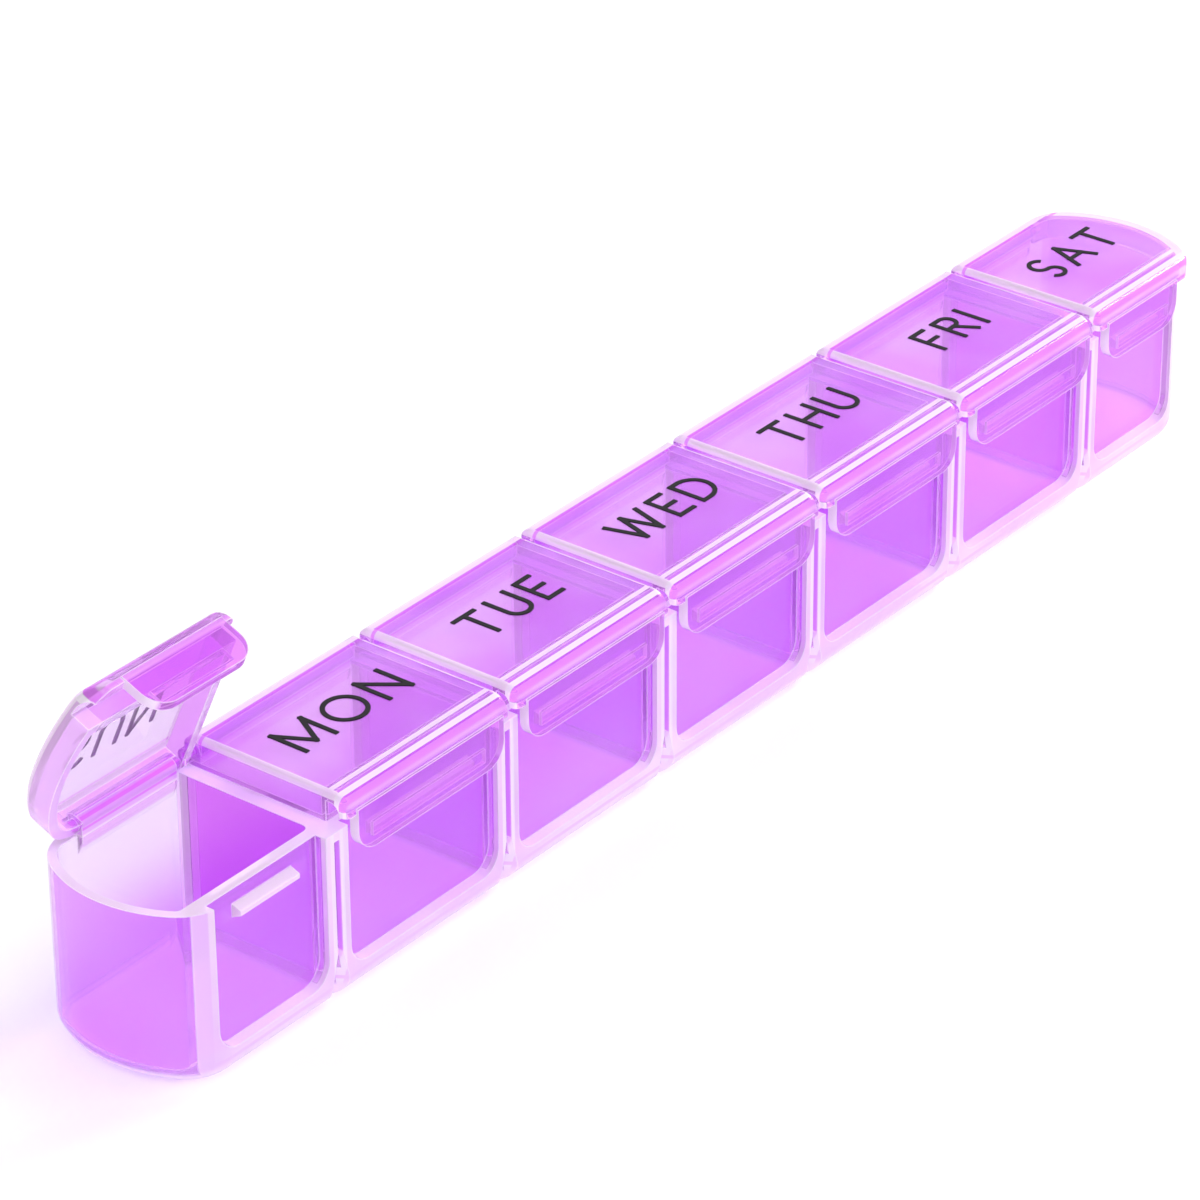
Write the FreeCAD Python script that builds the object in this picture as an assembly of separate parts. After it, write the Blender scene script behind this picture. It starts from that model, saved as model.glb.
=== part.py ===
import FreeCAD, Part
import math
import os

from FreeCAD import Vector

# Seven-day travel pill organizer: one moulded tray and seven hinged snap lids.
# Millimetres. Origin at the centre of the tray's underside, +Z up,
# +X along the week from Sunday to Saturday, -Y towards the latches.

os.makedirs("parts", exist_ok=True)

DAYS = ["sun", "mon", "tue", "wed", "thu", "fri", "sat"]
OPEN_DAY = "sun"
OPEN_ANGLE = 66.5

# Driving dimensions
PITCH = 30.0
HALF_W = 11.9
RIM_Z = 22.5
END_X = 101.5
END_ARC_X = 93.6
END_CORNER_R = 6.4

FLOOR = 1.6
END_WALL = 1.1
DIVIDER = 1.1
REAR_INNER_Y = 10.4
FRONT_INNER_Y = -8.9
CAVITY_EDGE_R = 1.0
CAVITY_FLOOR_R = 0.9
BASE_EDGE_R = 2.8

PANEL_Y = -10.4
PANEL_SIDE = 1.9
PANEL_END_X = 95.1
PANEL_BOTTOM_Z = 3.6
PANEL_CORNER_R = 3.0

SLIT_W = 0.9
SLIT_DEPTH = 1.8
SLIT_BOTTOM_Z = 6.6
SLIT_TOP_Z = 21.3
NOTCH_HALF_W = 2.1
NOTCH_DEPTH = 2.5

RIB_REACH = 1.3
RIB_ROOT_Z = (18.9, 20.6)
RIB_TIP_Z = (19.5, 20.1)
RIB_INSET = 4.2

# Hinge
HINGE_Y = 10.6
HINGE_Z = 23.9
BARREL_R = 1.0
PIN_R = 0.5
PIN_CLEARANCE = 0.05
EAR_R = 1.0
EAR_GAP = 0.3
EAR_END_X = 94.5
ARM_INSET = 0.2
WEB_DROP = 2.5
WEB_RISE = 0.8
PIN_SHORT = 0.2

# Lid
LID_GAP = 0.25
LID_SIDE_GAP = 0.6
LID_TOP_Z = 26.7
LID_PLATE = 1.2
LID_WALL = 1.3
LID_FRONT_Y = -9.9
LID_REAR_Y = 10.5
LID_EDGE_R = 0.9
ROLL_Y = -13.0
ROLL_R = 2.5
ROLL_WALL = 1.2
ROLL_BOTTOM_Z = 24.0
BOW_SPARE = 0.3

# Latch tab
TAB_OUTER_Y = -13.25
TAB_INNER_Y = -12.0
TAB_TOP_Z = 24.7
TAB_BOTTOM_Z = 18.8
TAB_SIDE_GAP = 0.3
TAB_END_X = 93.4
TAB_CORNER_R = 3.0
SLOT_Z = (19.8, 21.6)
SLOT_DEPTH = 0.6
SLOT_EXTRA = 1.0

# Raised day names
CAP_H = 5.8
STROKE = 0.62
LEGEND_H = 0.15
LETTER_GAP = 1.5
LEGEND_Y = -0.1
EPS = 0.01
OVER = 1.0
SEAM = 0.1


def box(x0, x1, y0, y1, z0, z1):
    """Box between opposite corners."""
    return Part.makeBox(x1 - x0, y1 - y0, z1 - z0, Vector(x0, y0, z0))


def bar(x0, x1, y, z, radius):
    """Round bar along X."""
    return Part.makeCylinder(radius, x1 - x0, Vector(x0, y, z), Vector(1, 0, 0))


def prism(points, vector):
    """Solid swept from a closed polygon."""
    return Part.Face(Part.makePolygon(points + points[:1])).extrude(vector)


def end_edges(x_arc, sign, y_front, y_rear, inset):
    """Bowed end of a plan outline, from its front corner round to its rear corner.

    Two corner arcs and one flatter end arc, tangent to one another and to the sides.
    """
    mid = (y_front + y_rear) / 2.0
    half = (y_rear - y_front) / 2.0
    rise = END_X - END_ARC_X
    r = END_CORNER_R
    big = (rise ** 2 + half ** 2 - 2.0 * half * r) / (2.0 * (rise - r))
    joint = math.atan2(half - r, big - rise)

    def corner(side, angle):
        radius = r - inset
        u = radius * math.cos(angle)
        v = side * (half - r + radius * math.sin(angle))
        return Vector(sign * (x_arc + u), mid + v, 0)

    def crown(angle):
        radius = big - inset
        return Vector(sign * (x_arc + rise - big + radius * math.cos(angle)),
                      mid + radius * math.sin(angle), 0)

    half_turn = math.pi / 2.0
    middle = (half_turn + joint) / 2.0
    return [
        Part.Arc(corner(-1, half_turn), corner(-1, middle), corner(-1, joint)).toShape(),
        Part.Arc(crown(-joint), crown(0.0), crown(joint)).toShape(),
        Part.Arc(corner(1, joint), corner(1, middle), corner(1, half_turn)).toShape(),
    ]


def plan_prism(x_left, x_right, y_front, y_rear, inset, z0, z1, ends):
    """Upright prism whose named ends ("left", "right") are bowed and whose others are square."""
    front = y_front + inset
    rear = y_rear - inset
    edges = []
    left_x = x_left + inset
    right_x = x_right - inset
    if "left" in ends:
        edges += end_edges(END_ARC_X, -1, y_front, y_rear, inset)
        left_x = -END_ARC_X
    else:
        edges.append(Part.makeLine(Vector(left_x, front, 0), Vector(left_x, rear, 0)))
    if "right" in ends:
        edges += end_edges(END_ARC_X, 1, y_front, y_rear, inset)
        right_x = END_ARC_X
    else:
        edges.append(Part.makeLine(Vector(right_x, front, 0), Vector(right_x, rear, 0)))
    edges.append(Part.makeLine(Vector(left_x, front, 0), Vector(right_x, front, 0)))
    edges.append(Part.makeLine(Vector(left_x, rear, 0), Vector(right_x, rear, 0)))
    wire = Part.Wire(Part.__sortEdges__(edges))
    face = Part.Face(wire)
    face.translate(Vector(0, 0, z0))
    return face.extrude(Vector(0, 0, z1 - z0))


def fillet_where(shape, radius, test):
    """Round every edge whose centre of mass passes the test."""
    edges = [edge for edge in shape.Edges if test(edge)]
    return shape.makeFillet(radius, edges)


def cell_ends(index):
    """Which end of this day's cell is bowed."""
    if index == 0:
        return ("left",)
    if index == len(DAYS) - 1:
        return ("right",)
    return ()


def cell_span(index):
    """X of the cell's two boundaries; an outer one is the end of the tray."""
    centre = (index - (len(DAYS) - 1) / 2.0) * PITCH
    left = centre - PITCH / 2.0
    right = centre + PITCH / 2.0
    if index == 0:
        left = -END_X
    if index == len(DAYS) - 1:
        right = END_X
    return left, right


def panel_span(index):
    """X of the two sides of the recessed front panel."""
    left, right = cell_span(index)
    ends = cell_ends(index)
    left = -PANEL_END_X if "left" in ends else left + PANEL_SIDE
    right = PANEL_END_X if "right" in ends else right - PANEL_SIDE
    return left, right


def ear_spans(index):
    """X ranges of the two lid ears that carry the hinge pin."""
    left, right = cell_span(index)
    ends = cell_ends(index)
    start = -EAR_END_X if "left" in ends else left + LID_SIDE_GAP
    stop = EAR_END_X if "right" in ends else right - LID_SIDE_GAP
    return (start, start + LID_WALL), (stop - LID_WALL, stop)


def rib_span(index):
    """X range of the latch rib on the front panel."""
    left, right = panel_span(index)
    return left + RIB_INSET, right - RIB_INSET


def runs_across(edge, top_z):
    """True for an edge that runs front to back below the given height."""
    bounds = edge.BoundBox
    return bounds.YLength > EPS and bounds.XLength < EPS and bounds.ZMax < top_z + EPS


def panel_recess(index):
    """Tool for the front recess: square at the rim, round at its lower corners."""
    left, right = panel_span(index)
    tool = box(left, right, -HALF_W - OVER, PANEL_Y, PANEL_BOTTOM_Z, RIM_Z + OVER)
    return fillet_where(tool, PANEL_CORNER_R, lambda edge: runs_across(edge, PANEL_BOTTOM_Z))


def cavity(index):
    """Tool for one compartment, rounded down its corners and round its floor."""
    left, right = cell_span(index)
    ends = cell_ends(index)
    full = plan_prism(left, right, -HALF_W, HALF_W, END_WALL, FLOOR, RIM_Z + OVER, ends)
    x0 = left if "left" in ends else left + DIVIDER / 2.0
    x1 = right if "right" in ends else right - DIVIDER / 2.0
    block = full.common(box(x0, x1, FRONT_INNER_Y, REAR_INNER_Y, 0.0, RIM_Z + 2.0 * OVER))

    def upright(edge):
        centre = edge.CenterOfMass
        on_divider = abs(centre.x - x0) < EPS or abs(centre.x - x1) < EPS
        on_front = abs(centre.y - FRONT_INNER_Y) < EPS
        return edge.BoundBox.ZLength > OVER and (on_divider or on_front)

    block = fillet_where(block, CAVITY_EDGE_R, upright)
    return fillet_where(block, CAVITY_FLOOR_R, lambda edge: edge.BoundBox.ZMax < FLOOR + EPS)


def notch(x):
    """Tool for the V between two cells that widens from the foot of the slit to the base."""

    def triangle(z, half_width, depth):
        return Part.makePolygon([
            Vector(x - half_width, -HALF_W - EPS, z),
            Vector(x, -HALF_W + depth, z),
            Vector(x + half_width, -HALF_W - EPS, z),
            Vector(x - half_width, -HALF_W - EPS, z),
        ])

    low = triangle(-EPS, NOTCH_HALF_W, NOTCH_DEPTH)
    high = triangle(SLIT_BOTTOM_Z, SLIT_W / 2.0, SLIT_DEPTH)
    return Part.makeLoft([low, high], True, True)


def latch_rib(index):
    """Tapered rib that stands out of the front panel."""
    left, right = rib_span(index)
    tip_y = PANEL_Y - RIB_REACH
    profile = [
        Vector(left, PANEL_Y + EPS, RIB_ROOT_Z[0]),
        Vector(left, tip_y, RIB_TIP_Z[0]),
        Vector(left, tip_y, RIB_TIP_Z[1]),
        Vector(left, PANEL_Y + EPS, RIB_ROOT_Z[1]),
    ]
    return prism(profile, Vector(right - left, 0, 0))


def hinge_barrel(index):
    """Barrel between one lid's ears, with the web that joins it to the rear wall."""
    first, second = ear_spans(index)
    x0 = first[1] + EAR_GAP
    x1 = second[0] - EAR_GAP
    web = prism([
        Vector(x0, HALF_W, RIM_Z - WEB_DROP),
        Vector(x0, REAR_INNER_Y, RIM_Z - WEB_DROP),
        Vector(x0, HINGE_Y - BARREL_R, RIM_Z - WEB_RISE),
        Vector(x0, HINGE_Y - BARREL_R, HINGE_Z),
        Vector(x0, HINGE_Y + BARREL_R, HINGE_Z),
        Vector(x0, HALF_W, RIM_Z),
    ], Vector(x1 - x0, 0, 0))
    body = bar(x0, x1, HINGE_Y, HINGE_Z, BARREL_R).fuse(web)
    return body, bar(x0 - OVER, x1 + OVER, HINGE_Y, HINGE_Z, PIN_R + PIN_CLEARANCE)


def make_tray():
    """Tray: seven compartments in one moulding, front recesses, ribs and hinge barrels."""
    tray = plan_prism(-END_X, END_X, -HALF_W, HALF_W, 0.0, 0.0, RIM_Z, ("left", "right"))
    tray = fillet_where(tray, BASE_EDGE_R, lambda edge: edge.BoundBox.ZMax < EPS)
    tools = []
    for index in range(len(DAYS)):
        tools.append(panel_recess(index))
        tools.append(cavity(index))
    for index in range(1, len(DAYS)):
        x = cell_span(index)[0]
        tools.append(notch(x))
        tools.append(box(x - SLIT_W / 2.0, x + SLIT_W / 2.0, -HALF_W - OVER,
                         -HALF_W + SLIT_DEPTH, SLIT_BOTTOM_Z, SLIT_TOP_Z))
    tray = tray.cut(tools)
    added = [latch_rib(index) for index in range(len(DAYS))]
    bores = []
    for index in range(len(DAYS)):
        barrel, bore = hinge_barrel(index)
        added.append(barrel)
        bores.append(bore)
    return tray.fuse(added).cut(bores).removeSplitter()


def lid_side_profile(x, top_z, roll_y, roll_r, wall_bottom_z):
    """Closed side outline of the lid's top and its rolled front edge."""
    centre = Vector(x, roll_y + roll_r, top_z - roll_r)
    swing = roll_r * math.sqrt(0.5)
    edges = [
        Part.makeLine(Vector(x, LID_REAR_Y, wall_bottom_z), Vector(x, LID_REAR_Y, top_z)),
        Part.makeLine(Vector(x, LID_REAR_Y, top_z), Vector(x, centre.y, top_z)),
        Part.Arc(Vector(x, centre.y, top_z),
                 Vector(x, centre.y - swing, centre.z + swing),
                 Vector(x, roll_y, centre.z)).toShape(),
        Part.makeLine(Vector(x, roll_y, centre.z), Vector(x, roll_y, wall_bottom_z)),
        Part.makeLine(Vector(x, roll_y, wall_bottom_z), Vector(x, LID_REAR_Y, wall_bottom_z)),
    ]
    return Part.Face(Part.Wire(edges))


def lid_tab(index):
    """Latch tab with rounded lower corners and a shallow groove on its inner face."""
    left, right = panel_span(index)
    left = max(left + TAB_SIDE_GAP, -TAB_END_X)
    right = min(right - TAB_SIDE_GAP, TAB_END_X)
    tab = box(left, right, TAB_OUTER_Y, TAB_INNER_Y, TAB_BOTTOM_Z, TAB_TOP_Z)
    tab = fillet_where(tab, TAB_CORNER_R, lambda edge: runs_across(edge, TAB_BOTTOM_Z))
    rib_left, rib_right = rib_span(index)
    groove = box(rib_left - SLOT_EXTRA, rib_right + SLOT_EXTRA,
                 TAB_INNER_Y - SLOT_DEPTH, TAB_INNER_Y + OVER, SLOT_Z[0], SLOT_Z[1])
    return tab.cut(groove)


def make_lid(index):
    """Lid: rounded cap, rolled front edge, latch tab and two hinge ears."""
    left, right = cell_span(index)
    ends = cell_ends(index)
    x0 = left if "left" in ends else left + LID_SIDE_GAP
    x1 = right if "right" in ends else right - LID_SIDE_GAP
    low = RIM_Z + LID_GAP
    ceiling = LID_TOP_Z - LID_PLATE
    width = Vector(x1 - x0, 0, 0)

    cover = lid_side_profile(x0, LID_TOP_Z, ROLL_Y, ROLL_R, ROLL_BOTTOM_Z).extrude(width)
    if ends:
        cover = cover.common(plan_prism(x0, x1, ROLL_Y - BOW_SPARE, LID_REAR_Y, 0.0, low,
                                        LID_TOP_Z + OVER, ends))

    def top_rim(edge):
        bounds = edge.BoundBox
        along_rear = bounds.YMin > LID_REAR_Y - EPS and bounds.ZMin > LID_TOP_Z - EPS
        return bounds.ZMax > LID_TOP_Z - EPS and (bounds.YLength > EPS or along_rear)

    cover = fillet_where(cover, LID_EDGE_R, top_rim)
    hollow = lid_side_profile(x0 - OVER, ceiling, ROLL_Y + ROLL_WALL, ROLL_R - ROLL_WALL,
                              ROLL_BOTTOM_Z - OVER).extrude(width + Vector(2.0 * OVER, 0, 0))
    cover = cover.cut(hollow)

    outer = plan_prism(x0, x1, ROLL_Y - BOW_SPARE, LID_REAR_Y, 0.0, low, ceiling + SEAM, ends)
    outer = outer.common(box(x0 - OVER, x1 + OVER, LID_FRONT_Y, LID_REAR_Y, low, LID_TOP_Z))
    inner = plan_prism(x0, x1, ROLL_Y - BOW_SPARE, LID_REAR_Y, LID_WALL, low - OVER,
                       ceiling + OVER, ends)
    inner = inner.common(box(x0 - OVER, x1 + OVER, LID_FRONT_Y + LID_WALL, LID_REAR_Y,
                             low - OVER, LID_TOP_Z))
    skirt = outer.cut(inner)

    lid = cover.fuse([skirt, lid_tab(index)])
    first, second = ear_spans(index)
    rear_wall = box(first[1], second[0], LID_REAR_Y - LID_WALL - SEAM, LID_REAR_Y + OVER,
                    low - OVER, HINGE_Z)
    lid = lid.cut([bar(first[1], second[0], HINGE_Y, HINGE_Z, BARREL_R + EAR_GAP), rear_wall])
    for ear_x0, ear_x1 in (first, second):
        ear = bar(ear_x0, ear_x1, HINGE_Y, HINGE_Z, EAR_R)
        arm = box(ear_x0, ear_x1, HINGE_Y - EAR_R, LID_REAR_Y - ARM_INSET, HINGE_Z,
                  ceiling + SEAM)
        lid = lid.fuse([ear, arm])
    return lid.cut(bar(first[0] - OVER, second[1] + OVER, HINGE_Y, HINGE_Z, PIN_R))


def make_pin(index):
    """Hinge pin pressed into both ears of one lid."""
    first, second = ear_spans(index)
    return bar(first[0] + PIN_SHORT, second[1] - PIN_SHORT, HINGE_Y, HINGE_Z, PIN_R)


# Letters as strokes on a grid one cap height tall: a list of points is a run of straight
# strokes, and (centre x, centre y, radius, start degrees, end degrees) is a curved one.
LETTERS = {
    "a": (0.80, [[(0, 0), (0.4, 1), (0.8, 0)], [(0.13, 0.34), (0.67, 0.34)]]),
    "d": (0.75, [[(0.25, 0), (0, 0), (0, 1), (0.25, 1)], (0.25, 0.5, 0.5, -90, 90)]),
    "e": (0.50, [[(0.5, 1), (0, 1), (0, 0), (0.5, 0)], [(0, 0.52), (0.44, 0.52)]]),
    "f": (0.48, [[(0.48, 1), (0, 1), (0, 0)], [(0, 0.52), (0.42, 0.52)]]),
    "h": (0.68, [[(0, 0), (0, 1)], [(0.68, 0), (0.68, 1)], [(0, 0.52), (0.68, 0.52)]]),
    "i": (0.00, [[(0, 0), (0, 1)]]),
    "m": (0.98, [[(0, 0), (0, 1), (0.49, 0.12), (0.98, 1), (0.98, 0)]]),
    "n": (0.76, [[(0, 0), (0, 1), (0.76, 0), (0.76, 1)]]),
    "o": (1.00, [(0.5, 0.5, 0.5, 0, 360)]),
    "r": (0.58, [[(0, 0), (0, 1), (0.3, 1)], (0.3, 0.76, 0.24, -90, 90),
                 [(0.3, 0.52), (0, 0.52)], [(0.26, 0.52), (0.58, 0)]]),
    "s": (0.50, [(0.25, 0.74, 0.26, 25, 270), (0.25, 0.24, 0.24, -155, 90)]),
    "t": (0.68, [[(0, 1), (0.68, 1)], [(0.34, 1), (0.34, 0)]]),
    "u": (0.66, [[(0, 1), (0, 0.33)], (0.33, 0.33, 0.33, 180, 360), [(0.66, 0.33), (0.66, 1)]]),
    "w": (1.16, [[(0, 1), (0.29, 0), (0.58, 1), (0.87, 0), (1.16, 1)]]),
}


def straight_stroke(start, end):
    """Flat bar of stroke width between two points, run on slightly at both ends."""
    along = (end - start).normalize()
    half = STROKE / 2.0
    across = Vector(-along.y, along.x, 0) * half
    tail = start - along * half
    tip = end + along * half
    return prism([tail - across, tip - across, tip + across, tail + across],
                 Vector(0, 0, LEGEND_H))


def curved_stroke(centre, radius, start, end):
    """Flat ring sector of stroke width."""
    up = Vector(0, 0, 1)
    span = end - start
    outer = Part.makeCylinder(radius + STROKE / 2.0, LEGEND_H, centre, up, span)
    inner = Part.makeCylinder(radius - STROKE / 2.0, LEGEND_H, centre, up, span)
    ring = outer.cut(inner)
    ring.rotate(centre, up, start)
    return ring


def make_legend(index):
    """Raised day name on top of one lid, reading from the latch side."""
    middle = sum(cell_span(index)) / 2.0
    scale = CAP_H - STROKE
    word = DAYS[index]
    advance = [LETTERS[letter][0] * scale + STROKE for letter in word]
    x = middle - (sum(advance) + LETTER_GAP * (len(word) - 1)) / 2.0 + STROKE / 2.0
    strokes = []
    for letter, step in zip(word, advance):
        base = Vector(x, LEGEND_Y - scale / 2.0, LID_TOP_Z)
        for stroke in LETTERS[letter][1]:
            if isinstance(stroke, tuple):
                centre = base + Vector(stroke[0], stroke[1], 0) * scale
                strokes.append(curved_stroke(centre, stroke[2] * scale, stroke[3], stroke[4]))
                continue
            points = [base + Vector(px, py, 0) * scale for px, py in stroke]
            strokes += [straight_stroke(a, b) for a, b in zip(points, points[1:])]
        x += step + LETTER_GAP
    return strokes[0].fuse(strokes[1:]).removeSplitter()


def opened(shape, day):
    """Swing one day's parts to the angle they rest at."""
    if day == OPEN_DAY:
        shape = shape.copy()
        shape.rotate(Vector(0, HINGE_Y, HINGE_Z), Vector(-1, 0, 0), OPEN_ANGLE)
    return shape


nodes = {"tray": make_tray()}
for number, day in enumerate(DAYS):
    nodes["lid_" + day] = opened(make_lid(number), day)
    nodes["hinge_pin_" + day] = opened(make_pin(number), day)
    nodes["legend_" + day] = opened(make_legend(number), day)

for name, shape in nodes.items():
    shape.exportStep("parts/" + name + ".step")
    bounds = shape.BoundBox
    print(name, "valid", shape.isValid(), "solids", len(shape.Solids),
          "volume", round(shape.Volume, 1),
          "z", round(bounds.ZMin, 2), round(bounds.ZMax, 2))
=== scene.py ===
import math

import bpy
from mathutils import Matrix, Vector

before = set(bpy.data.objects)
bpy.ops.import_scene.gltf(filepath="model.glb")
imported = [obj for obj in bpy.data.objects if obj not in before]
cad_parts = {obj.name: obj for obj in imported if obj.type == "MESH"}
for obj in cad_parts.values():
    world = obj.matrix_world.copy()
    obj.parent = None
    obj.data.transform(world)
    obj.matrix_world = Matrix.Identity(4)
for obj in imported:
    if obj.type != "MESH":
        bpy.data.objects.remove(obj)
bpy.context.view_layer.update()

# Metres, in the same frame as the CAD model: +X along the week, -Y towards the latches, +Z up.
PITCH = 0.030
RIM = 0.0225
PANEL_FACE = 0.0104
PANEL_FOOT = 0.0036
HINGE = Vector((0.0, 0.0106, 0.0239))
OPEN_ANGLE = math.radians(66.5)
LID_TOP = 0.0267
LID_HALF = 0.0144
BOW_CENTRE = (0.0843, -0.0014)
BOW_R = 0.0172

# Zones on the tray. A pair is a range, and a triple is a centre, a half width and a fade.
# CAVITY_CORNER_X, SLIT_LIP, SLIT_HALF and RIB_START are distances along X from the nearest slit.
# The other zones along X are distances from the middle of the row.
STRAIGHT_END = 0.0920
DIVIDER_FRONT = -0.0100
REAR_WALL = 0.0100
REAR_SHADE_FADE_Z = (0.001, 0.016)
CAVITY_CORNER_Y = (0.0092, 0.0105)
CAVITY_CORNER_X = 0.0016
WEB_END_X = (0.0930, 0.0950)
WEB_FRONT = 0.0088
OFF_FACE = 0.00006
LEDGE_TOP = PANEL_FOOT + 0.0004
END_POST = 0.0951
POST_FACE = -0.0112
SLIT_LIP = (0.0008, 0.00025, 0.0001)
END_POST_STRIPE = (0.0967, 0.0007, 0.0002)
FOOT_STRIPE = (0.0026, 0.0002, 0.0001)
SLIT_HALF = 0.0005
SLIT_BACK = -0.0099
SLIT_Z = (0.0139, 0.0073, 0.0001)
RIB_Z = (0.0197, 0.0010, 0.0001)
RIB_FACE = -0.01045
RIB_START = 0.0035
RIB_END = 0.0925
RIM_SKIN = 0.00012
FOOT_TOP = 0.0018
FOOT_FADE = 0.0005
BARREL_FOOT = RIM + 0.0002
BARREL_CREASES = ((0.0234, 0.00012, 0.0001), (0.0246, 0.00012, 0.0001))
TRAY_EDGE = 0.0003

# Zones on a shut lid. FRAME is both the width of its side strips and the depth of its pale top.
FRAME = 0.0008
BOW_SIDE = 0.080
BOW_START = 0.090
BOW_SKIRT = 0.0019
REAR_FRAME = 0.0090
REAR_LINE = (0.0086, 0.0002, 0.0001)
FRONT_FRAME = (-0.0101, 0.0003, 0.0001)
ROLL_FOOT = 0.0242
ROLL_SHINE = (-0.01148, 0.00028, 0.0001)
ROLL_SHADE = (-0.0122, 0.0003, 0.0002)
SEAM_FACE = -0.0128
SEAM_Z = (0.0245, 0.00012, 0.0001)
TAB_BACK = -0.0118
TAB_TOP = 0.0248
LID_EDGE = 0.00025

# The plastic: gloss, bending of light, and how much comes through a thin and a thick wall
GLOSS = 0.05
REFRACTION = 1.25
THIN_WALL = 0.80
THICK_WALL = 0.35
EDGE_BEND = (0.004, 0.06)
FACING = 0.7
TRAY_FACING_FADE = 0.05
LID_FACING_FADE = 0.1

# How cloudy the colour is: the scale of each noise, and how height and noise add up on the tray
TRAY_CLOUD = 45.0
LID_CLOUD = 70.0
MOTTLE = 900.0
CLOUD_RANGE = (0.35, 0.65)
HEIGHT_GAIN = 14.0
CLOUD_GAIN = 0.7
LIFT_RANGE = (0.25, 0.75)
GLOSS_SPREAD = 0.06

# How strongly each zone takes its colour; the edge and corner colours are painted highlight, the
# rear colour partly painted shade
DIVIDER_TINT = 0.8
REAR_TINT = 0.9
CORNER_HIGHLIGHT_TINT = 0.8
EDGE_HIGHLIGHT_TINT = 0.85
UNDERSIDE_TINT = 0.9
SKIRT_TINT = 0.7
TAB_TINT = 0.4
OPEN_TAB_TINT = 0.7

FLOOR_SIZE = 6.0
FLOOR_DROP = 0.0002
WORLD_LIGHT = 0.75

CAMERA_AT = Vector((-0.45996, -0.35180, 0.34233))
AZIMUTH = math.radians(-51.82)
ELEVATION = math.radians(29.55)
ROLL = math.radians(-0.397)
LENS = 164.28
SENSOR = 36.0

VIOLET = (0.83, 0.41, 0.965, 1.0)
LIGHT_VIOLET = (0.87, 0.53, 0.975, 1.0)
DEEP_VIOLET = (0.79, 0.22, 0.94, 1.0)
LAVENDER = (0.93, 0.68, 0.98, 1.0)
ORCHID = (0.86, 0.36, 0.97, 1.0)
PALE_PINK = (0.99, 0.86, 0.985, 1.0)
NEAR_WHITE = (0.99, 0.95, 0.99, 1.0)
SHADE_TINT = (0.88, 0.83, 0.97, 1.0)
MAGENTA = (0.70, 0.05, 0.75, 1.0)
INK = (0.020, 0.019, 0.022, 1.0)


class Nodes:
    """Shorthand for building one material's node tree."""

    def __init__(self, name):
        self.material = bpy.data.materials.new(name)
        self.material.use_nodes = True
        self.tree = self.material.node_tree
        self.tree.nodes.clear()
        self.out = self.add("ShaderNodeOutputMaterial")

    def add(self, kind, **values):
        node = self.tree.nodes.new(kind)
        for key, value in values.items():
            setattr(node, key, value)
        return node

    def link(self, source, target):
        self.tree.links.new(source, target)

    def feed(self, socket, value):
        """Set a socket to a constant, or link it to another node's output."""
        if isinstance(value, bpy.types.NodeSocket):
            self.link(value, socket)
        else:
            socket.default_value = value

    def math(self, operation, a, b=0.0, clamp=False):
        node = self.add("ShaderNodeMath", operation=operation, use_clamp=clamp)
        self.feed(node.inputs[0], a)
        self.feed(node.inputs[1], b)
        return node.outputs[0]

    def ramp(self, value, low, high):
        """0 below low, 1 above high, smooth between."""
        node = self.add("ShaderNodeMapRange", interpolation_type="SMOOTHSTEP")
        self.feed(node.inputs["Value"], value)
        node.inputs["From Min"].default_value = low
        node.inputs["From Max"].default_value = high
        return node.outputs[0]

    def band(self, value, centre, half, soft):
        """1 within half of centre, falling to 0 over soft."""
        distance = self.math("ABSOLUTE", self.math("SUBTRACT", value, centre))
        return self.math("SUBTRACT", 1.0, self.ramp(distance, half, half + soft))

    def mix(self, factor, a, b):
        node = self.add("ShaderNodeMix", data_type="RGBA")
        self.feed(node.inputs[0], factor)
        self.feed(node.inputs[6], a)
        self.feed(node.inputs[7], b)
        return node.outputs[2]

    def position(self, opened=False):
        """Place on the shut piece, as separate x, y and z."""
        socket = self.add("ShaderNodeTexCoord").outputs["Object"]
        if opened:
            turn = self.add("ShaderNodeVectorRotate", rotation_type="AXIS_ANGLE")
            self.link(socket, turn.inputs["Vector"])
            turn.inputs["Center"].default_value = HINGE
            turn.inputs["Axis"].default_value = (1.0, 0.0, 0.0)
            turn.inputs["Angle"].default_value = OPEN_ANGLE
            socket = turn.outputs[0]
        split = self.add("ShaderNodeSeparateXYZ")
        self.link(socket, split.inputs[0])
        return socket, split.outputs

    def normal(self, opened=False):
        """Facing direction on the shut piece, as separate x, y and z."""
        socket = self.add("ShaderNodeTexCoord").outputs["Normal"]
        if opened:
            turn = self.add("ShaderNodeVectorRotate", rotation_type="AXIS_ANGLE")
            self.link(socket, turn.inputs["Vector"])
            turn.inputs["Axis"].default_value = (1.0, 0.0, 0.0)
            turn.inputs["Angle"].default_value = OPEN_ANGLE
            socket = turn.outputs[0]
        split = self.add("ShaderNodeSeparateXYZ")
        self.link(socket, split.inputs[0])
        return split.outputs

    def noise(self, vector, scale, detail=2.0):
        node = self.add("ShaderNodeTexNoise")
        self.link(vector, node.inputs["Vector"])
        node.inputs["Scale"].default_value = scale
        node.inputs["Detail"].default_value = detail
        return node.outputs["Fac"]


def edge_highlight_mask(m, radius):
    """1 along the sharp edges of the piece, 0 on its faces: where the painted highlight goes."""
    edge = m.add("ShaderNodeBevel", samples=6)
    edge.inputs["Radius"].default_value = radius
    normal = m.add("ShaderNodeNewGeometry").outputs["Normal"]
    dot = m.add("ShaderNodeVectorMath", operation="DOT_PRODUCT")
    m.link(edge.outputs[0], dot.inputs[0])
    m.link(normal, dot.inputs[1])
    return m.ramp(m.math("SUBTRACT", 1.0, dot.outputs["Value"]), *EDGE_BEND)


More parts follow.
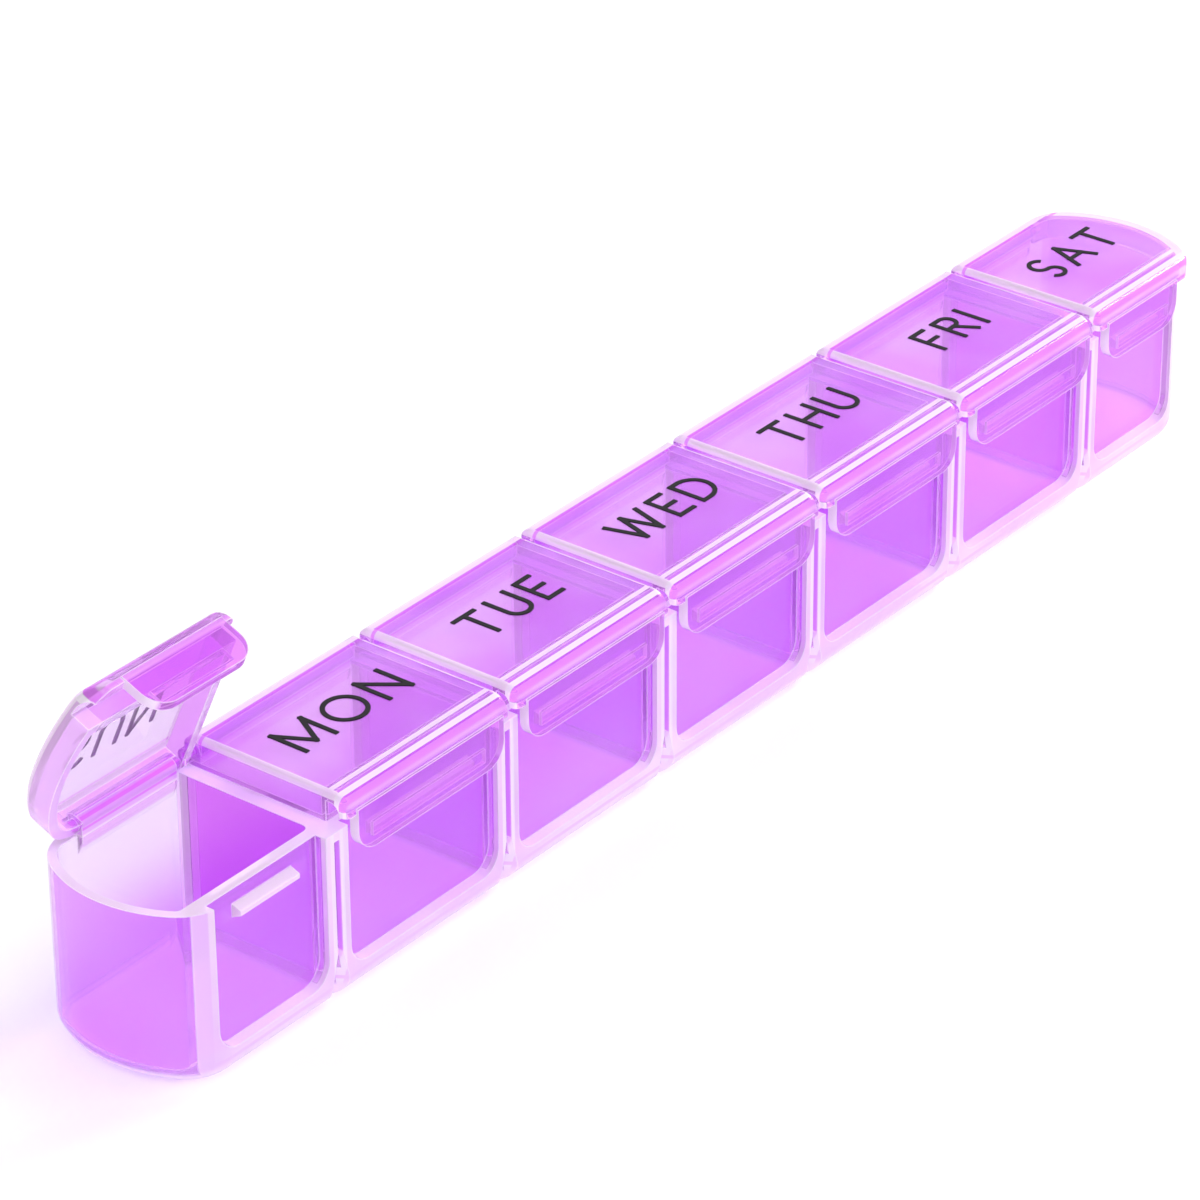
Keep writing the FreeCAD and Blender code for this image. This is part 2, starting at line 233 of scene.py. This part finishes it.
def clear_shader(m, colour, milky_or_highlit):
    """Tinted see-through plastic; the mask is 1 where the wall is thick and milky and where
    painted highlights lie, so that less comes through there.

    Lamps reach through it, so that what is inside and beneath is lit in its colour.
    """
    shader = m.add("ShaderNodeBsdfPrincipled")
    m.link(colour, shader.inputs["Base Color"])
    shader.inputs["Roughness"].default_value = GLOSS
    shader.inputs["IOR"].default_value = REFRACTION
    clear = m.add("ShaderNodeMapRange")
    m.link(milky_or_highlit, clear.inputs["Value"])
    clear.inputs["To Min"].default_value = THIN_WALL
    clear.inputs["To Max"].default_value = THICK_WALL
    m.link(clear.outputs[0], shader.inputs["Transmission Weight"])
    through = m.add("ShaderNodeBsdfTransparent")
    through.inputs["Color"].default_value = SHADE_TINT
    choose = m.add("ShaderNodeMixShader")
    m.link(m.add("ShaderNodeLightPath").outputs["Is Shadow Ray"], choose.inputs[0])
    m.link(shader.outputs[0], choose.inputs[1])
    m.link(through.outputs[0], choose.inputs[2])
    m.link(choose.outputs[0], m.out.inputs[0])
    return m.material


def below(m, value, limit, soft=0.00008):
    """1 below the limit, 0 above it."""
    return m.math("SUBTRACT", 1.0, m.ramp(value, limit - soft, limit + soft))


def above(m, value, limit, soft=0.00008):
    """1 above the limit, 0 below it."""
    return m.ramp(value, limit - soft, limit + soft)


def from_grid(m, x, offset):
    """Distance along X from the nearest slit, or from a lid's middle at half a pitch of offset.

    Four pitches more keep the sum above zero all along the row.
    """
    shifted = m.math("FLOORED_MODULO", m.math("ADD", x, 4.0 * PITCH + offset), PITCH)
    return m.math("ABSOLUTE", m.math("SUBTRACT", shifted, PITCH / 2.0))


def every(m, first, *others):
    """1 where all the masks are 1."""
    for other in others:
        first = m.math("MULTIPLY", first, other)
    return first


def either(m, first, *others):
    """1 where any of the masks is 1."""
    for other in others:
        first = m.math("MAXIMUM", first, other)
    return first


def scaled(m, mask, amount):
    """The mask, or any other value, times the amount."""
    return m.math("MULTIPLY", mask, amount)


def tray_plastic():
    """Violet panels and dividers between pale posts, rims and foot; the pale is partly the thick
    plastic's own look and partly painted highlight.
    """
    m = Nodes("tray_plastic")
    place, (x, y, z) = m.position()
    facing_x = m.math("ABSOLUTE", m.normal()[0])
    cloud = m.noise(place, TRAY_CLOUD)
    reach = m.math("ABSOLUTE", x)
    lift = m.math("ADD", scaled(m, z, HEIGHT_GAIN), scaled(m, cloud, CLOUD_GAIN))
    body = m.mix(m.ramp(lift, *LIFT_RANGE), LIGHT_VIOLET, VIOLET)
    divider = every(m, above(m, facing_x, FACING, TRAY_FACING_FADE), below(m, reach, STRAIGHT_END),
                    above(m, y, DIVIDER_FRONT))
    body = m.mix(scaled(m, divider, DIVIDER_TINT), body, DEEP_VIOLET)
    # The rear wall's inside is near-white, as seen through a single wall, and turns violet towards
    # the floor as painted shade.
    rear = every(m, above(m, y, REAR_WALL), below(m, z, RIM), m.ramp(z, *REAR_SHADE_FADE_Z))
    body = m.mix(scaled(m, rear, REAR_TINT), body, NEAR_WHITE)

    to_slit = from_grid(m, x, 0.0)
    inboard = below(m, reach, STRAIGHT_END)
    # Painted highlight: a pale pink line on the rounded inner corner where each divider meets the
    # rear wall.
    inner_corner_highlight = every(m, above(m, y, CAVITY_CORNER_Y[0]), below(m, y, CAVITY_CORNER_Y[1]),
                         below(m, to_slit, CAVITY_CORNER_X), inboard, below(m, z, RIM))
    body = m.mix(scaled(m, inner_corner_highlight, CORNER_HIGHLIGHT_TINT), body, PALE_PINK)
    web_end = every(m, above(m, facing_x, FACING, TRAY_FACING_FADE), above(m, reach, WEB_END_X[0]),
                    below(m, reach, WEB_END_X[1]), above(m, y, WEB_FRONT))
    body = m.mix(web_end, body, NEAR_WHITE)

    proud = below(m, y, -PANEL_FACE - OFF_FACE)
    ledge = every(m, proud, below(m, z, LEDGE_TOP))
    corner = every(m, proud, above(m, reach, END_POST))
    front = either(m, below(m, y, POST_FACE), ledge, corner)
    # The pale posts are partly the thick plastic's own look and partly painted highlight.
    post = m.mix(m.ramp(cloud, *CLOUD_RANGE), PALE_PINK, LAVENDER)
    beside_slit = every(m, m.band(to_slit, *SLIT_LIP), inboard)
    post = m.mix(beside_slit, post, NEAR_WHITE)
    post = m.mix(every(m, corner, m.band(reach, *END_POST_STRIPE)), post, LAVENDER)
    post = m.mix(m.band(z, *FOOT_STRIPE), post, LAVENDER)
    colour = m.mix(front, body, post)

    slit = every(m, below(m, to_slit, SLIT_HALF), below(m, y, SLIT_BACK), inboard,
                 m.band(z, *SLIT_Z))
    colour = m.mix(slit, colour, VIOLET)
    rib = every(m, m.band(z, *RIB_Z), below(m, y, RIB_FACE),
                above(m, to_slit, RIB_START), below(m, reach, RIB_END))
    colour = m.mix(rib, colour, PALE_PINK)

    # The pale rim and foot are partly the thick plastic's own look and partly painted highlight.
    rim = above(m, z, RIM - RIM_SKIN, OFF_FACE)
    foot = below(m, z, FOOT_TOP, FOOT_FADE)
    colour = m.mix(either(m, foot, rim), colour, PALE_PINK)
    barrel = above(m, z, BARREL_FOOT)
    colour = m.mix(barrel, colour, LIGHT_VIOLET)
    creases = either(m, *(m.band(z, *crease) for crease in BARREL_CREASES))
    colour = m.mix(creases, colour, DEEP_VIOLET)
    # Painted highlight: near-white along every sharp edge of the tray.
    edge_highlights = edge_highlight_mask(m, TRAY_EDGE)
    colour = m.mix(scaled(m, edge_highlights, EDGE_HIGHLIGHT_TINT), colour, NEAR_WHITE)
    return clear_shader(m, colour, either(m, front, rim, foot, rib, edge_highlights, inner_corner_highlight, web_end))


def lid_plastic(name, at_end, opened=False):
    """Violet window in a pale frame, partly painted highlight, a painted highlight along the
    rolled edge with painted shade below it, and a tab that shows its groove.
    """
    m = Nodes(name)
    place, (x, y, z) = m.position(opened)
    facing = m.normal(opened)
    cloud = m.noise(place, LID_CLOUD)
    body = m.mix(m.ramp(cloud, *CLOUD_RANGE), LIGHT_VIOLET, VIOLET)
    underside = below(m, facing[2], -FACING, LID_FACING_FADE)
    body = m.mix(scaled(m, underside, UNDERSIDE_TINT), body, NEAR_WHITE)

    top = above(m, z, LID_TOP - FRAME)
    side = above(m, from_grid(m, x, PITCH / 2.0), LID_HALF - FRAME)
    skirt = 0.0
    if at_end:
        reach = m.math("ABSOLUTE", x)
        inboard = every(m, side, below(m, reach, BOW_SIDE))
        u = m.math("SUBTRACT", reach, BOW_CENTRE[0])
        v = m.math("SUBTRACT", y, BOW_CENTRE[1])
        spread = m.math("SQRT", m.math("ADD", m.math("MULTIPLY", u, u), m.math("MULTIPLY", v, v)))
        bowed = every(m, above(m, spread, BOW_R - BOW_SKIRT), above(m, reach, BOW_START))
        side = either(m, inboard, bowed)
        skirt = scaled(m, bowed, SKIRT_TINT)
    rear = above(m, y, REAR_FRAME)
    front = m.band(y, *FRONT_FRAME)
    # The pale frame is partly the inner wall seen through the top and partly painted highlight on
    # the top's rounded edge.
    border = every(m, top, either(m, side, rear, front))
    colour = m.mix(skirt, body, LAVENDER)
    colour = m.mix(border, colour, PALE_PINK)
    colour = m.mix(every(m, top, m.band(y, *REAR_LINE)), colour, ORCHID)

    # Painted highlight along the rolled front edge, and a band of painted shade just below it.
    roll = above(m, z, ROLL_FOOT)
    shine = every(m, roll, m.band(y, *ROLL_SHINE))
    shade = every(m, roll, m.band(y, *ROLL_SHADE))
    colour = m.mix(shade, colour, DEEP_VIOLET)
    colour = m.mix(shine, colour, NEAR_WHITE)
    seam = every(m, below(m, y, SEAM_FACE), m.band(z, *SEAM_Z))
    colour = m.mix(seam, colour, ORCHID)
    tab = every(m, below(m, y, TAB_BACK), below(m, z, TAB_TOP))
    colour = m.mix(scaled(m, tab, OPEN_TAB_TINT if opened else TAB_TINT), colour, DEEP_VIOLET)
    sideways = above(m, m.math("ABSOLUTE", facing[0]), FACING, LID_FACING_FADE)
    tab_end = every(m, tab, sideways)
    colour = m.mix(tab_end, colour, NEAR_WHITE)

    # Painted highlight: near-white along every sharp edge of the lid.
    edge_highlights = edge_highlight_mask(m, LID_EDGE)
    colour = m.mix(scaled(m, edge_highlights, EDGE_HIGHLIGHT_TINT), colour, NEAR_WHITE)
    return clear_shader(m, colour, either(m, border, shine, tab_end, edge_highlights, skirt))


def plain(name, colour, roughness, spread=0.15, shine=0.5):
    """Solid colour with a fine mottle in colour and gloss."""
    m = Nodes(name)
    place, _ = m.position()
    cloud = m.noise(place, MOTTLE, 3.0)
    dark = tuple(c * (1.0 - spread) for c in colour[:3]) + (1.0,)
    shader = m.add("ShaderNodeBsdfPrincipled")
    m.link(m.mix(cloud, dark, colour), shader.inputs["Base Color"])
    rough = m.add("ShaderNodeMapRange")
    m.link(cloud, rough.inputs["Value"])
    rough.inputs["To Min"].default_value = roughness - GLOSS_SPREAD
    rough.inputs["To Max"].default_value = roughness + GLOSS_SPREAD
    m.link(rough.outputs[0], shader.inputs["Roughness"])
    shader.inputs["Specular IOR Level"].default_value = shine
    m.link(shader.outputs[0], m.out.inputs[0])
    return m.material


def paint(obj, material):
    obj.data.materials.clear()
    obj.data.materials.append(material)


violet_tray = tray_plastic()
violet_lid = lid_plastic("lid_plastic", at_end=False)
violet_end = lid_plastic("end_lid_plastic", at_end=True)
violet_open = lid_plastic("open_lid_plastic", at_end=True, opened=True)
pin_plastic = plain("pin_plastic", MAGENTA, 0.3)
ink = plain("legend_ink", INK, 0.55, 0.15, 0.15)

for name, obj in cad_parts.items():
    if name == "tray":
        paint(obj, violet_tray)
    elif name == "lid_sun":
        paint(obj, violet_open)
    elif name == "lid_sat":
        paint(obj, violet_end)
    elif name.startswith("lid_"):
        paint(obj, violet_lid)
    elif name.startswith("hinge_pin_"):
        paint(obj, pin_plastic)
    else:
        paint(obj, ink)

# Floor and light
bpy.ops.mesh.primitive_plane_add(size=FLOOR_SIZE, location=(0.0, 0.0, -FLOOR_DROP))
floor = bpy.context.object
floor.name = "floor"
paint(floor, plain("floor_white", (0.97, 0.97, 0.975, 1.0), 0.8, 0.01))

world = bpy.data.worlds.new("studio")
world.use_nodes = True
world.node_tree.nodes["Background"].inputs["Color"].default_value = (1.0, 1.0, 1.0, 1.0)
world.node_tree.nodes["Background"].inputs["Strength"].default_value = WORLD_LIGHT
bpy.context.scene.world = world


def area_light(name, at, size, power, target=(0.0, 0.0, 0.01)):
    data = bpy.data.lights.new(name, "AREA")
    data.size = size
    data.energy = power
    lamp = bpy.data.objects.new(name, data)
    bpy.context.collection.objects.link(lamp)
    lamp.location = at
    lamp.rotation_euler = (Vector(target) - Vector(at)).to_track_quat("-Z", "Y").to_euler()
    return lamp


area_light("key", (1.3, -0.3, 0.75), 0.4, 17.0)
area_light("fill", (-0.9, -0.8, 0.9), 1.2, 4.0)

camera_data = bpy.data.cameras.new("camera")
camera_data.lens = LENS
camera_data.sensor_width = SENSOR
camera_data.clip_start = 0.01
camera = bpy.data.objects.new("camera", camera_data)
bpy.context.collection.objects.link(camera)
right = Vector((math.cos(AZIMUTH), math.sin(AZIMUTH), 0.0))
back = Vector((math.sin(AZIMUTH) * math.cos(ELEVATION),
               -math.cos(AZIMUTH) * math.cos(ELEVATION),
               math.sin(ELEVATION)))
up = back.cross(right)
rolled_right = math.cos(ROLL) * right + math.sin(ROLL) * up
rolled_up = -math.sin(ROLL) * right + math.cos(ROLL) * up
turn = Matrix((rolled_right, rolled_up, back)).transposed()
camera.matrix_world = Matrix.Translation(CAMERA_AT) @ turn.to_4x4()
bpy.context.scene.camera = camera
bpy.context.scene.view_settings.view_transform = "Standard"
